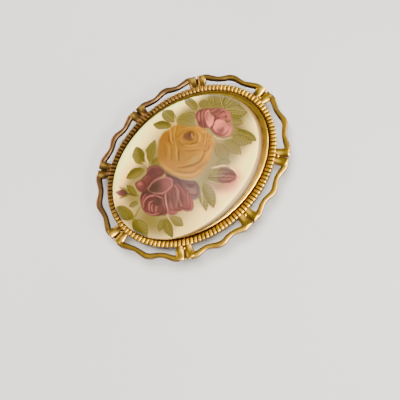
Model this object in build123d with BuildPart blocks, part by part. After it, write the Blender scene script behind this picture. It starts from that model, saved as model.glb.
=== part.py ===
"""Scarf clip: an oval painted stone on a gilt openwork mount with a bent strip clip behind.

Millimetres. +X runs along the long axis of the oval, +Z points out of the front.
Z = 0 is the surface on which the clip lies on its back, below the middle of the milled ring.
"""
from build123d import *
from math import atan2, cos, degrees, hypot, pi, sin
import os

# Stone: a flat-backed oval cabochon with a low girdle
stone_length = 40.0
stone_width = 30.0
girdle_height = 1.0
dome_rise = 3.6
stone_shift_x = -1.1
stone_shift_y = -0.3

# Milled ring around the stone
ring_margin = 2.6
ring_band = 1.7
ring_height = 1.55
ring_edge_fillet = 0.45
ledge_width = 1.2
ledge_thickness = 0.6
rib_count = 128
rib_height = 0.35
rib_inset = 0.12
rib_fill = 0.78
rib_taper = 24.0

# Openwork rim: stations of two broad lobes, joined by waisted bars
station_count = 8
rim_reach = 3.3
rim_lift = 0.3
rim_height = 1.2
bar_lift = 0.1
bar_height = 1.0
lobe_root = 0.95
lobe_spread = 1.20
lobe_neck_width = 1.5
lobe_end_width = 1.95
web_lift = 0.1
web_thickness = 0.5
bead_radius = 0.45
corner_width = 1.25
waist_reach = 1.75
waist_width = 0.95
apex_reach = 3.25
apex_width = 1.2
shoulder_share = 0.4

# Setting cup: a shallow dish whose smooth rounded band carries the stone
cup_clearance = 0.12
cup_floor = 0.8
band_width = 3.4
band_rise = 0.1
band_fillet = 0.6
glue_line = 0.05

# Back clip: one strip bent into a hairpin
clip_width = 12.0
clip_thickness = 0.8
clip_gap = 1.6
leaf_lap = 1.3
tongue_short = 4.0
clip_corner = 3.0

# Heights that follow from the sizes above
mount_base = 2 * clip_thickness + clip_gap
ring_top = mount_base + ring_height
rib_top = ring_top + rib_height
band_top = rib_top + band_rise
stone_base = band_top + glue_line

# Half lengths of the ovals, along X and along Y
stone_oval = (stone_length / 2, stone_width / 2)
ring_outer = tuple(half + ring_margin for half in stone_oval)
ring_inner = tuple(half - ring_band for half in ring_outer)
frame_opening = tuple(half - ledge_width for half in ring_inner)
cup_outer = tuple(half - cup_clearance for half in ring_inner)
cup_foot = tuple(half - cup_clearance for half in frame_opening)
cup_pocket = tuple(half - band_width for half in cup_outer)

# Rim bar, from the corner beside a lobe to the outward apex half way to the next station, then back.
# Columns: share of the way, and flare (0 at the waist, 1 at the end).
corner_rows = ((0.00, 1.00), (0.18, 0.92), (0.40, 0.34))
waist_row = (0.62, 0.00)
apex_rows = ((0.82, 0.42), (1.00, 1.00))

# Lobe, from inside the ring to its outer end.
# Columns: share of the reach, share of the spread, and flare.
lobe_rows = ((-0.14, 0.0, 0.0), (0.30, 0.30, 0.15), (0.90, 1.0, 1.0))

# The web's notch on the station's middle line, as a share of the reach, and steps of an oval's table
web_notch = 0.66
arc_steps = 720


def arc_table(half_x, half_y):
    """Distances walked along an oval, at even steps of its angle."""
    walked = [0.0]
    for step in range(1, arc_steps + 1):
        before = 2 * pi * (step - 1) / arc_steps
        after = 2 * pi * step / arc_steps
        along_x = half_x * (cos(after) - cos(before))
        along_y = half_y * (sin(after) - sin(before))
        walked.append(walked[-1] + hypot(along_x, along_y))
    return walked


def oval_angle(walked, distance):
    """The oval's angle after a walked distance, which may run past the start."""
    around = distance % walked[-1]
    step = next(i for i in range(arc_steps) if walked[i + 1] >= around)
    part_step = (around - walked[step]) / (walked[step + 1] - walked[step])
    return 2 * pi * (step + part_step) / arc_steps


def across_edge(oval, walked, distance, out, height):
    """Plane that cuts across the oval's edge: local x points outwards and local y up."""
    angle = oval_angle(walked, distance)
    outward = Vector(oval[1] * cos(angle), oval[0] * sin(angle)).normalized()
    place = Vector(oval[0] * cos(angle), oval[1] * sin(angle), height) + out * outward
    return Plane(origin=place, x_dir=outward, z_dir=outward.cross(Vector(0, 0, 1)))


def facing_out(oval, walked, distance, out, height):
    """Plane that faces outwards: local x runs along the edge and local y up."""
    plane = across_edge(oval, walked, distance, out, height)
    return Plane(origin=plane.origin, x_dir=-plane.z_dir, z_dir=plane.x_dir)


def rib_location(distance):
    """Place of a rib on the ring's flat crown, turned to lie across the ring."""
    plane = across_edge(rib_oval, rib_walk, distance, 0, ring_top)
    return Location(plane.origin, degrees(atan2(plane.x_dir.Y, plane.x_dir.X)))


def loft_rim(sections, section_plane, lift, height):
    """A rounded bar through sections given as distance, reach and width, above a lift from the mount."""
    faces = []
    for distance, out, width in sections:
        plane = section_plane(ring_outer, ring_walk, distance, out, mount_base + lift)
        with BuildSketch(plane, mode=Mode.PRIVATE) as section:
            with BuildLine():
                shoulder = shoulder_share * height
                Polyline((-width / 2, shoulder), (-width / 2, 0), (width / 2, 0), (width / 2, shoulder))
                ThreePointArc((width / 2, shoulder), (0, height), (-width / 2, shoulder))
            make_face()
        faces.append(section.sketch.face())
    return loft(sections=faces, mode=Mode.PRIVATE)


def web_outline(station):
    """Corners of the thin web that closes the V between a station's two lobes."""
    root = (-lobe_root, lobe_rows[0][0] * rim_reach)
    end = (-lobe_spread, lobe_rows[-1][0] * rim_reach)
    corners = (root, (-root[0], root[1]), (-end[0], end[1]), (0, web_notch * rim_reach), end)
    places = [across_edge(ring_outer, ring_walk, station + along, out, 0).origin for along, out in corners]
    return [(place.X, place.Y) for place in places]


def lobe_sections(station, side):
    """One of a station's two lobes, which splay and widen outwards."""
    rows = []
    for reach_share, spread_share, flare in lobe_rows:
        spread = lobe_root + spread_share * (lobe_spread - lobe_root)
        width = lobe_neck_width + flare * (lobe_end_width - lobe_neck_width)
        rows.append((station + side * spread, reach_share * rim_reach, width))
    return rows


def bar_sections(station):
    """A whole rim bar, from inside this station's lobe over the apex to inside the next station's."""
    corner_out = rim_reach - corner_width / 2
    apex_out = apex_reach - apex_width / 2
    length = station_pitch / 2 - lobe_spread
    rows = []
    for way, flare in corner_rows + (waist_row,):
        out = waist_reach + flare * (corner_out - waist_reach)
        width = waist_width + flare * (corner_width - waist_width)
        rows.append((lobe_spread + way * length, out, width))
    for way, flare in apex_rows:
        out = waist_reach + flare * (apex_out - waist_reach)
        width = waist_width + flare * (apex_width - waist_width)
        rows.append((lobe_spread + way * length, out, width))
    there = [(station + along, out, width) for along, out, width in rows]
    back = [(station + station_pitch - along, out, width) for along, out, width in rows[-2::-1]]
    return there + back


ring_walk = arc_table(*ring_outer)
station_pitch = ring_walk[-1] / station_count
rib_oval = tuple(half - ring_band / 2 for half in ring_outer)
rib_walk = arc_table(*rib_oval)
rib_pitch = rib_walk[-1] / rib_count

# Openwork frame: ledge, milled ring, ribs, lobes and bars in one casting
with BuildPart() as openwork_frame:
    with BuildSketch(Plane.XY.offset(mount_base)):
        Ellipse(*ring_outer)
        Ellipse(*frame_opening, mode=Mode.SUBTRACT)
    extrude(amount=ledge_thickness)
    with BuildSketch(Plane.XY.offset(mount_base)):
        Ellipse(*ring_outer)
        Ellipse(*ring_inner, mode=Mode.SUBTRACT)
    extrude(amount=ring_height)
    crown = openwork_frame.faces().filter_by(Axis.Z).sort_by(Axis.Z)[-1]
    fillet(crown.outer_wire().edges(), radius=ring_edge_fillet)
    rim_pieces = []
    for number in range(station_count):
        station = number * station_pitch
        for side in (-1, 1):
            lobe = loft_rim(lobe_sections(station, side), facing_out, rim_lift, rim_height)
            rim_pieces.append(lobe)
        bar = loft_rim(bar_sections(station), across_edge, rim_lift + bar_lift, bar_height)
        rim_pieces.append(bar)
    add(rim_pieces)
    with BuildSketch(Plane.XY.offset(mount_base + rim_lift + web_lift)):
        for number in range(station_count):
            with BuildLine():
                Polyline(*web_outline(number * station_pitch), close=True)
            make_face()
    extrude(amount=web_thickness)
    bead_height = mount_base + rim_lift + web_lift + web_thickness
    bead_places = []
    for number in range(station_count):
        plane = across_edge(ring_outer, ring_walk, number * station_pitch, bead_radius, bead_height)
        bead_places.append(plane.origin)
    with Locations(*bead_places):
        Sphere(bead_radius)
    with BuildSketch(mode=Mode.PRIVATE) as rib_foot:
        Rectangle(ring_band - ring_edge_fillet - rib_inset, rib_pitch * rib_fill)
    rib = extrude(rib_foot.sketch, amount=rib_height, taper=rib_taper, mode=Mode.PRIVATE)
    with Locations(*[rib_location(number * rib_pitch) for number in range(rib_count)]):
        add(rib)
openwork_frame.part.label = "openwork_frame"

# Setting cup: foot and floor inside the frame's opening, band above the frame's ledge
with BuildPart() as setting_cup:
    with BuildSketch(Plane.XY.offset(mount_base)):
        Ellipse(*cup_foot)
    extrude(amount=ledge_thickness)
    with BuildSketch(Plane.XY.offset(mount_base + ledge_thickness)):
        Ellipse(*cup_outer)
    extrude(amount=band_top - mount_base - ledge_thickness)
    crown = setting_cup.faces().filter_by(Axis.Z).sort_by(Axis.Z)[-1]
    fillet(crown.edges(), radius=band_fillet)
    with BuildSketch(Plane.XY.offset(mount_base + cup_floor)):
        Ellipse(*cup_pocket)
    extrude(amount=band_top - mount_base - cup_floor, mode=Mode.SUBTRACT)
setting_cup.part.label = "setting_cup"

# Cabochon: a round blank is turned first, then narrowed to the oval
with BuildPart() as round_blank:
    with BuildSketch(Plane.XZ):
        with BuildLine():
            Line((0, 0), (stone_length / 2, 0))
            Line((stone_length / 2, 0), (stone_length / 2, girdle_height))
            EllipticalCenterArc((0, girdle_height), stone_length / 2, dome_rise, arc_size=90)
            Line((0, girdle_height + dome_rise), (0, 0))
        make_face()
    revolve(axis=Axis.Z)
oval_blank = scale(round_blank.part, by=(1, stone_width / stone_length, 1), mode=Mode.PRIVATE)
with BuildPart() as cabochon:
    with Locations((stone_shift_x, stone_shift_y, stone_base)):
        add(oval_blank)
cabochon.part.label = "cabochon"

# Back clip: the leaf lies under the mount, the tongue returns below it
leaf_reach = frame_opening[0] + leaf_lap
bend_middle = mount_base / 2
with BuildPart() as back_clip:
    with BuildSketch(Plane.XZ):
        with BuildLine():
            Line((leaf_reach, mount_base), (bend_middle - leaf_reach, mount_base))
            ThreePointArc((bend_middle - leaf_reach, mount_base), (-leaf_reach, bend_middle),
                          (bend_middle - leaf_reach, 0))
            Line((bend_middle - leaf_reach, 0), (leaf_reach - tongue_short, 0))
            Line((leaf_reach - tongue_short, 0), (leaf_reach - tongue_short, clip_thickness))
            Line((leaf_reach - tongue_short, clip_thickness), (bend_middle - leaf_reach, clip_thickness))
            ThreePointArc((bend_middle - leaf_reach, clip_thickness),
                          (clip_thickness - leaf_reach, bend_middle),
                          (bend_middle - leaf_reach, mount_base - clip_thickness))
            Line((bend_middle - leaf_reach, mount_base - clip_thickness),
                 (leaf_reach, mount_base - clip_thickness))
            Line((leaf_reach, mount_base - clip_thickness), (leaf_reach, mount_base))
        make_face()
    extrude(amount=clip_width / 2, both=True)
    strip_ends = back_clip.edges().filter_by(Axis.Z).group_by(Axis.X)
    fillet(strip_ends[-1] + strip_ends[-2], radius=clip_corner)
back_clip.part.label = "back_clip"

os.makedirs("parts", exist_ok=True)
for piece in (openwork_frame, setting_cup, cabochon, back_clip):
    export_step(piece.part, "parts/" + piece.part.label + ".step")
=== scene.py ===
"""Looks of the scarf clip: milled gilt ring, openwork rim, smooth band, painted stone and bent strip clip.

Every surface is worked out in millimetres in the part's own frame, then stored in metres.
An oval is told by its two half lengths; "out" is the distance outwards from the milled ring's edge.
"""

import bmesh
import bpy
import numpy as np
from mathutils import Matrix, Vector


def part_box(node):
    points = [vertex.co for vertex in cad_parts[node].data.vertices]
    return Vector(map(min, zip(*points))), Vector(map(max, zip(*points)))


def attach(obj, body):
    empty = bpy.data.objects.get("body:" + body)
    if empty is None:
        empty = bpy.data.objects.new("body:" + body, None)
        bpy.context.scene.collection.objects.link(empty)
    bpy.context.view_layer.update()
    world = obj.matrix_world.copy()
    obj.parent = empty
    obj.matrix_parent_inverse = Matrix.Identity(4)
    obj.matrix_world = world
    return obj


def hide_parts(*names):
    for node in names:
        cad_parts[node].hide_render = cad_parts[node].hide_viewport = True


MM = 0.001
TURN = 2 * np.pi

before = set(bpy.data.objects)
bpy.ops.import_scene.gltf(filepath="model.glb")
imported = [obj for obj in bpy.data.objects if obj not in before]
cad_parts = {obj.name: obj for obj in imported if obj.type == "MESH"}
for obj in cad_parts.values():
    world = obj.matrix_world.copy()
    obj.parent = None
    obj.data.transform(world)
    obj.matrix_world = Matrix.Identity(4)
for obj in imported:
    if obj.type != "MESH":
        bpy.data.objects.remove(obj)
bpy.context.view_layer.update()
rng = np.random.default_rng(7)


def box_mm(node):
    """Lowest and highest corner of a CAD piece, in millimetres."""
    low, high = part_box(node)
    return np.array(low) / MM, np.array(high) / MM


cup_low, cup_high = box_mm("setting_cup")
stone_low, stone_high = box_mm("cabochon")
clip_low, clip_high = box_mm("back_clip")

MOUNT_BASE = box_mm("openwork_frame")[0][2]
RING_OUTER = np.array([22.6, 17.6])
RING_BAND = 1.7
RIBS = 128
CUP_OUTER = (cup_high - cup_low)[:2] / 2
CUP_FLOOR = 0.8
RIM_LIFT = 0.3
RIM_BASE = MOUNT_BASE + RIM_LIFT
RIM_HEIGHT = 1.2
RIM_REACH = 3.3
STATIONS = 8
LOBE_INNER_END = -0.14
# Distances along the edge from a station's middle line: the web reaches LOBE_ROOT to each side at its root
# and LOBE_SPREAD at its tip, where the bars begin. A lobe's own middle starts at LOBE_ASIDE and ends
# LOBE_SPLAY farther away.
LOBE_ROOT, LOBE_SPREAD = 0.95, 1.20
LOBE_ASIDE, LOBE_SPLAY = 0.96, 0.32
LOBE_WIDTH, LOBE_FLARE = 1.80, 0.80
LOBE_FULLNESS = 0.95
BAR_LIFT, BAR_HEIGHT = 0.10, 1.00
BAR_FULLNESS = 0.82
WEB_BOTTOM, WEB_TOP = 0.10, 0.60
BEAD_RADIUS = 0.45
STONE_HALF = (stone_high - stone_low)[:2] / 2
STONE_MIDDLE = (stone_high + stone_low)[:2] / 2
GIRDLE = 1.0
CLIP_THICKNESS = 0.8
CLIP_CORNER = 3.0
CLIP_EDGE_ROUND = 0.22
TONGUE_SHORT = 4.0


# Ovals and walks along them

def oval_point(half, angle):
    """Points of an oval at its angles: its half lengths times the cosine and the sine."""
    return np.stack([half[0] * np.cos(angle), half[1] * np.sin(angle)], -1)


def oval_normal(half, angle):
    """Outward unit directions of an oval at its angles."""
    raw = np.stack([half[1] * np.cos(angle), half[0] * np.sin(angle)], -1)
    return raw / np.linalg.norm(raw, axis=-1, keepdims=True)


def oval_walk(half, steps=2880):
    """Angles and the distances walked to them from the +X end."""
    angle = np.linspace(0, TURN, steps + 1)
    step = np.linalg.norm(np.diff(oval_point(half, angle), axis=0), axis=1)
    return angle, np.concatenate([[0], np.cumsum(step)])


def angle_after(half, distance):
    """The oval's angle after a walked distance, which may run past the start or before it."""
    angle, walked = oval_walk(half)
    laps = np.floor(distance / walked[-1])
    return np.interp(distance - laps * walked[-1], walked, angle) + laps * TURN


def edge_place(distance, out, height):
    """Points at a walked distance along the ring's edge, some way out from it."""
    angle = angle_after(RING_OUTER, distance)
    flat = oval_point(RING_OUTER, angle) + out[..., None] * oval_normal(RING_OUTER, angle)
    return np.concatenate([flat, np.broadcast_to(height, distance.shape)[..., None]], -1)


def smooth_line(points, closed=False, per=5):
    """A round-cornered line through given points: a cubic between each two, led by their neighbours."""
    p = np.asarray(points, float)
    if closed:
        p = np.concatenate([p[-1:], p, p[:2]])
    else:
        p = np.concatenate([2 * p[:1] - p[1:2], p, 2 * p[-1:] - p[-2:-1]])
    t = np.linspace(0, 1, per, endpoint=False)[None, :, None]
    a, b, c, d = (p[k:len(p) - 3 + k, None] for k in range(4))
    line = b + 0.5 * t * (c - a + t * (2 * a - 5 * b + 4 * c - d + t * (3 * b - a - 3 * c + d)))
    line = line.reshape(-1, p.shape[1])
    return np.concatenate([line, line[:1] if closed else p[-2:-1]])


# Meshes from whole arrays

def grid_quads(rows, columns, wrap_rows=False, wrap_columns=False):
    """Corner numbers of the quads of a grid of points, closed around where asked."""
    row = np.arange(rows if wrap_rows else rows - 1)
    column = np.arange(columns if wrap_columns else columns - 1)
    r, c = np.meshgrid(row, column, indexing="ij")
    r2, c2 = (r + 1) % rows, (c + 1) % columns
    corners = [r * columns + c, r2 * columns + c, r2 * columns + c2, r * columns + c2]
    return np.stack(corners, -1).reshape(-1, 4)


def make_piece(name, points, faces, node, slot, material, sharp=50, **measures):
    """A named piece from points in millimetres, with one value per point for each measure."""
    mesh = bpy.data.meshes.new(name)
    mesh.from_pydata(points.reshape(-1, 3) * MM, [], faces)
    for label, values in measures.items():
        if values.ndim == 2:
            colour = np.concatenate([values, np.ones((len(values), 1))], 1)
            layer = mesh.attributes.new(label, "FLOAT_COLOR", "POINT")
            layer.data.foreach_set("color", colour.astype(np.float32).ravel())
        else:
            layer = mesh.attributes.new(label, "FLOAT", "POINT")
            layer.data.foreach_set("value", values.astype(np.float32).ravel())
    work = bmesh.new()
    work.from_mesh(mesh)
    bmesh.ops.recalc_face_normals(work, faces=work.faces)
    work.to_mesh(mesh)
    work.free()
    mesh.shade_smooth()
    if sharp:
        mesh.set_sharp_from_angle(angle=np.radians(sharp))
    mesh.materials.append(material)
    piece = bpy.data.objects.new(name, mesh)
    bpy.context.scene.collection.objects.link(piece)
    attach(piece, "root")
    if node:
        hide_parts(node)
    return piece


def rails(points):
    """Points and faces of closed rails: an array of rails, rows along each, points around each row."""
    count, rows, around = points.shape[:3]
    per_rail = rows * around
    quads = grid_quads(rows, around, wrap_columns=True)
    quads = (quads[None] + per_rail * np.arange(count)[:, None, None]).reshape(-1, 4)
    first, last = points[:, 0].mean(1), points[:, -1].mean(1)
    step = np.arange(around)
    ring = np.stack([step, (step + 1) % around], -1)
    tips = []
    for end, start in ((0, 0), (1, per_rail - around)):
        centre = count * per_rail + end * count + np.arange(count)
        corners = start + ring[None] + per_rail * np.arange(count)[:, None, None]
        tip = np.concatenate([corners, np.broadcast_to(centre[:, None, None], (count, around, 1))], -1)
        tips.append(tip.reshape(-1, 3))
    everything = np.concatenate([points.reshape(-1, 3), first, last])
    return everything, quads.tolist() + np.concatenate(tips).tolist()


def rail_relief(relief, points):
    """Wear and painted shade of every point of the rails and of the middles of their ends, from its values on
    one section, on one rail or on all of them."""
    relief = np.broadcast_to(relief, points.shape[:3])
    ends = relief[:, [0, -1]].mean(-1).T
    return np.concatenate([relief.ravel(), ends.ravel()])


# Materials

class Shader:
    """A material's nodes, made by short calls."""

    def __init__(self, name):
        self.material = bpy.data.materials.new(name)
        self.material.use_nodes = True
        self.tree = self.material.node_tree
        self.surface = self.tree.nodes["Principled BSDF"]

    def add(self, kind, values=None, **settings):
        """A new node with its settings, and with a value or a link in each named socket."""
        node = self.tree.nodes.new(kind)
        for key, value in settings.items():
            setattr(node, key, value)
        for socket, value in (values or {}).items():
            self.put(node, socket, value)
        return node

    def put(self, node, socket, value):
        """A link or a plain value into one socket."""
        if isinstance(value, bpy.types.NodeSocket):
            self.tree.links.new(value, node.inputs[socket])
        else:
            node.inputs[socket].default_value = value

    def noise(self, scale, detail=3.0, rough=0.55):
        """Clouds that stay on the piece, about as many to the metre as the scale says."""
        place = self.add("ShaderNodeTexCoord").outputs["Object"]
        return self.add("ShaderNodeTexNoise", {"Vector": place, "Scale": scale, "Detail": detail,
                                               "Roughness": rough}).outputs["Fac"]

    def measure(self, label):
        """A measure that is stored at the piece's points."""
        return self.add("ShaderNodeAttribute", attribute_name=label).outputs

    def maths(self, operation, a, b=0.0, c=0.0, clamp=False):
        """One step of arithmetic on up to three values."""
        return self.add("ShaderNodeMath", {0: a, 1: b, 2: c}, operation=operation, use_clamp=clamp).outputs[0]

    def ramp(self, value, stops):
        """The colour that a value picks between stops, each a place and its colour."""
        node = self.add("ShaderNodeValToRGB", {"Fac": value})
        line = node.color_ramp.elements
        while len(line) < len(stops):
            line.new(0.5)
        for element, (place, colour) in zip(line, stops):
            element.position = place
            element.color = (*colour, 1)
        return node.outputs["Color"]

    def span(self, value, low, high):
        """A value from 0 to 1, stretched to run from low to high."""
        return self.add("ShaderNodeMapRange", {"Value": value, "To Min": low, "To Max": high}).outputs[0]

    def mix(self, share, a, b, blend="MIX"):
        """One colour with a share of another, mixed or multiplied."""
        node = self.add("ShaderNodeMix", data_type="RGBA", blend_type=blend)
        self.put(node, 0, share)
        self.put(node, 6, a)
        self.put(node, 7, b)
        return node.outputs[2]

    def bump(self, height, strength, distance, under=None):
        """Fine unevenness from a height, over a coarser one where given."""
        values = {"Height": height, "Strength": strength, "Distance": distance}
        if under is not None:
            values["Normal"] = under
        return self.add("ShaderNodeBump", values).outputs["Normal"]

    def finish(self, **values):
        """The material, with values and links in its surface's own sockets."""
        for key, value in values.items():
            self.put(self.surface, key.replace("_", " "), value)
        return self.material


def gilt(name, deep, middle, bright, rough_low, rough_high, far_side_shade=0.0):
    """Old gold plate, darker or brighter by a measure of wear and shade: brown with patina and painted shade
    in the recesses and on low flanks, polished bright on the crests by wear, with a fine grain.
    Towards +Y the plate is painted a dull copper brown, in clouds: painted shade on the far side."""
    m = Shader(name)
    # This measure is partly wear and patina, partly painted shade on flanks, undersides and hollows
    relief = m.measure("relief")["Fac"]
    cloud = m.noise(420.0, 4.0)
    grain = m.noise(5200.0, 3.0, 0.6)
    uneven_cloud = m.maths("SUBTRACT", cloud, 0.5)
    uneven_grain = m.maths("SUBTRACT", grain, 0.5)
    worn_and_shaded = m.maths("MULTIPLY_ADD", uneven_cloud, 0.55, relief)
    worn_and_shaded = m.maths("MULTIPLY_ADD", uneven_grain, 0.22, worn_and_shaded, clamp=True)
    colour = m.ramp(worn_and_shaded, ((0.22, deep), (0.64, middle), (0.97, bright)))
    # Painted shade: the far side, towards +Y, is darkened to a dull copper brown in clouds
    if far_side_shade:
        copper = m.ramp(worn_and_shaded, ((0.22, deep), (0.64, (0.19, 0.108, 0.060)), (0.97, (0.52, 0.27, 0.135))))
        place = m.add("ShaderNodeTexCoord").outputs["Object"]
        side = m.add("ShaderNodeVectorMath", {0: place, 1: FAR_SIDE_SHADE_WAY}, operation="DOT_PRODUCT")
        side = m.maths("MULTIPLY_ADD", uneven_cloud, 0.8, side.outputs["Value"], clamp=True)
        colour = m.mix(m.maths("MULTIPLY", side, far_side_shade), colour, copper)
    rough = m.maths("MULTIPLY_ADD", grain, 0.5, m.maths("MULTIPLY", worn_and_shaded, -0.6))
    soft = m.bump(cloud, 0.25, 0.00012)
    fine = m.bump(grain, 0.22, 0.00002, soft)
    rough = m.span(rough, rough_low, rough_high)
    return m.finish(Base_Color=colour, Metallic=1.0, Roughness=rough, Normal=fine)


# Share of the painted shade's dull copper brown gained over a metre towards -X and towards +Y
FAR_SIDE_SHADE_WAY = (-14.0, 70.0, 0.0)
gilt_frame = gilt("old_gilt", (0.050, 0.029, 0.018), (0.30, 0.168, 0.056), (0.92, 0.59, 0.060),
                  0.36, 0.20, far_side_shade=0.90)
gilt_lobes = gilt("lobe_gilt", (0.060, 0.032, 0.014), (0.38, 0.215, 0.046), (0.98, 0.655, 0.058),
                  0.36, 0.20, far_side_shade=0.52)
gilt_ring = gilt("milled_gilt", (0.075, 0.042, 0.020), (0.30, 0.168, 0.042), (0.88, 0.56, 0.045),
                 0.50, 0.30, far_side_shade=0.60)
gilt_band = gilt("rubbed_and_shaded_gilt", (0.060, 0.032, 0.014), (0.36, 0.20, 0.050), (0.92, 0.59, 0.060), 0.30, 0.18)
gilt_strip = gilt("strip_gilt", (0.24, 0.13, 0.02), (0.56, 0.35, 0.07), (0.82, 0.56, 0.15), 0.50, 0.36)


# Milled ring: a crown that rises and falls with every rib

# Outlines of the ring as rows of the way out from its edge and the height: the outer wall, the top in a
# groove or on a crest, and the inner wall with the ledge and the underside
OUTER_WALL = [(0.00, 3.20), (0.00, 3.26), (0.00, 3.60), (0.00, 3.95)]
GROOVE_TOP = [(0.00, 4.15), (-0.02, 4.27), (-0.06, 4.36), (-0.11, 4.44), (-0.18, 4.51), (-0.28, 4.56),
              (-0.40, 4.60), (-0.54, 4.62), (-0.70, 4.63), (-0.88, 4.63), (-1.04, 4.63), (-1.18, 4.63),
              (-1.30, 4.63), (-1.40, 4.64), (-1.50, 4.67), (-1.60, 4.70)]
CREST_TOP = [(0.00, 4.18), (0.00, 4.40), (-0.01, 4.60), (-0.03, 4.78), (-0.08, 4.92), (-0.16, 5.02),
             (-0.28, 5.07), (-0.44, 5.10), (-0.64, 5.10), (-0.86, 5.10), (-1.06, 5.09), (-1.22, 5.06),
             (-1.34, 5.00), (-1.43, 4.90), (-1.51, 4.78), (-1.60, 4.72)]
INNER_WALL = [(-1.67, 4.66), (-1.70, 4.52), (-1.70, 4.10), (-1.70, 3.80), (-2.30, 3.80), (-2.88, 3.80),
              (-2.90, 3.78), (-2.90, 3.22), (-2.88, 3.20), (-1.50, 3.20)]
GROOVE_LINE = np.array(OUTER_WALL + GROOVE_TOP + INNER_WALL)
CREST_LINE = np.array(OUTER_WALL + CREST_TOP + INNER_WALL)
# Columns of one rib, as shares of its pitch
RIB_STEPS = np.array([-0.5, -0.475, -0.43, -0.36, -0.25, -0.10, 0.10, 0.25, 0.36, 0.43, 0.475])


def milled_ring():
    """Each column is a mix of the groove's outline and the crest's outline. The mix is a rounded pulse over
    one rib, the 0.8th power of one less the fourth power of the way to its side: a pillow between sharp
    grooves. The crests are polished bright by wear, the grooves are dark with patina and painted shade, the
    low outer walls are dark with painted shade, and the inner edge lies between."""
    middle = RING_OUTER - RING_BAND / 2
    pitch = oval_walk(middle)[1][-1] / RIBS
    lean = rng.normal(0, 0.020, RIBS)
    size = 1 - np.abs(rng.normal(0, 0.07, RIBS))
    theta = angle_after(middle, ((np.arange(RIBS)[:, None] + RIB_STEPS) * pitch).ravel())
    way = np.abs(2 * RIB_STEPS + lean[:, None] * (RIB_STEPS > -0.49)).clip(0, 1)
    pulse = ((1 - way ** 4) ** 0.8 * size[:, None]).ravel()
    line = GROOVE_LINE + pulse[:, None, None] * (CREST_LINE - GROOVE_LINE)
    inwards, height = line[..., 0], line[..., 1]
    points = np.stack([(RING_OUTER[0] + inwards) * np.cos(theta)[:, None],
                       (RING_OUTER[1] + inwards) * np.sin(theta)[:, None], height], -1)
    # Painted shade: darker in the grooves and on the low walls under the crown, brightest on the crests
    raised = ((height - 4.45) / 0.60).clip(0, 1)
    relief = 0.10 + 0.88 * raised ** 0.7 * (0.38 + 0.62 * pulse[:, None])
    relief = np.where(inwards < -1.50, 0.50, relief)
    relief = np.where(height < 4.20, 0.10, relief)
    faces = grid_quads(*height.shape, wrap_rows=True, wrap_columns=True)
    return make_piece("milled_ring", points, faces, "openwork_frame", "gilt_metal", gilt_ring,
                      sharp=70, relief=relief.ravel())


# Openwork rim

def rim_outline(width, height, fullness, steps=16):
    """Section of a rim bar, for each width: flat below, upright to the shoulder, then an arch.
    The arch is a circle bent towards a square by its fullness."""
    arch = np.linspace(0, np.pi, steps)
    round_way = np.sign(np.cos(arch)) * np.abs(np.cos(arch)) ** fullness
    across = 0.5 * np.concatenate([[1, 1], round_way, [-1, -1]])
    rise = np.concatenate([[0.0, 0.2], 0.4 + 0.6 * np.sin(arch) ** fullness, [0.2, 0.0]])
    return width[..., None] * across, height * rise


# Walked distance from station to station, the place of each station and the two sides of its middle line
PITCH = oval_walk(RING_OUTER)[1][-1] / STATIONS
STARTS = np.arange(STATIONS) * PITCH
SIDES = np.array([-1.0, 1.0])


def rim_rails(along, out, width, base, height, fullness):
    """Rails along the rim. Each row is placed by its walked distance and its reach, and lies across the
    way the rail runs."""
    place = edge_place(along, out, base)
    way = np.gradient(place, axis=-2)
    way[..., 2] = 0
    way /= np.linalg.norm(way, axis=-1, keepdims=True)
    side = np.stack([way[..., 1], -way[..., 0], np.zeros_like(way[..., 0])], -1)
    across, rise = rim_outline(width, height[..., None], fullness)
    points = place[..., None, :] + across[..., None] * side[..., None, :]
    points[..., 2] += rise
    return points.reshape(-1, *points.shape[-3:])


def station_lobes():
    """Sixteen stout lobes, two at every station, that part and widen by powers of the way out. The end is
    rounded off, and the middle dips by a power of a half wave. Rows are told by their share of the reach."""
    share = np.array([LOBE_INNER_END, -0.05, 0.05, 0.16, 0.28, 0.40, 0.52, 0.64, 0.74,
                      0.81, 0.86, 0.89, 0.905])
    grown = ((share - LOBE_INNER_END) / 1.04).clip(0, 1)
    end = np.array([0.0] * 9 + [0.05, 0.18, 0.42, 0.70])
    turned = rng.normal(0, 0.05, (STATIONS, 1, 1))
    aside = LOBE_ASIDE + LOBE_SPLAY * grown ** 1.8
    along = STARTS[:, None, None] + turned * grown + SIDES[:, None] * aside
    out = np.broadcast_to(share * RIM_REACH, along.shape)
    width = np.broadcast_to((LOBE_WIDTH + LOBE_FLARE * grown ** 2.2) * (1 - 0.14 * end), along.shape)
    dip = 1.08 - 0.26 * np.sin(np.pi * grown) ** 1.5
    height = np.broadcast_to(RIM_HEIGHT * (1 - 0.40 * end) * dip, along.shape)
    points = rim_rails(along, out, width, RIM_BASE, height, LOBE_FULLNESS)
    rise = rim_outline(np.ones(1), 1.0, LOBE_FULLNESS)[1]
    # Painted shade: the flanks are darker than the crest, and the lobe grows lighter outwards from the ring
    lighter_outwards = np.interp(share, (LOBE_INNER_END, 0.10, 0.45), (0.40, 0.70, 1.0))[:, None]
    verts, faces = rails(points)
    return make_piece("station_lobes", verts, faces, None, "gilt_metal", gilt_lobes,
                      relief=rail_relief(0.26 + 0.74 * rise ** 1.4 * lighter_outwards, points))


# Rows of half a bar: share of the way to the apex, reach and width
BAR_ROWS = [(0.00, 2.55, 1.44), (0.15, 2.52, 1.44), (0.34, 2.10, 1.32), (0.54, 1.82, 1.20),
            (0.72, 2.00, 1.26), (0.88, 2.38, 1.40), (1.00, 2.50, 1.46), (1.12, 2.38, 1.40)]


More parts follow.
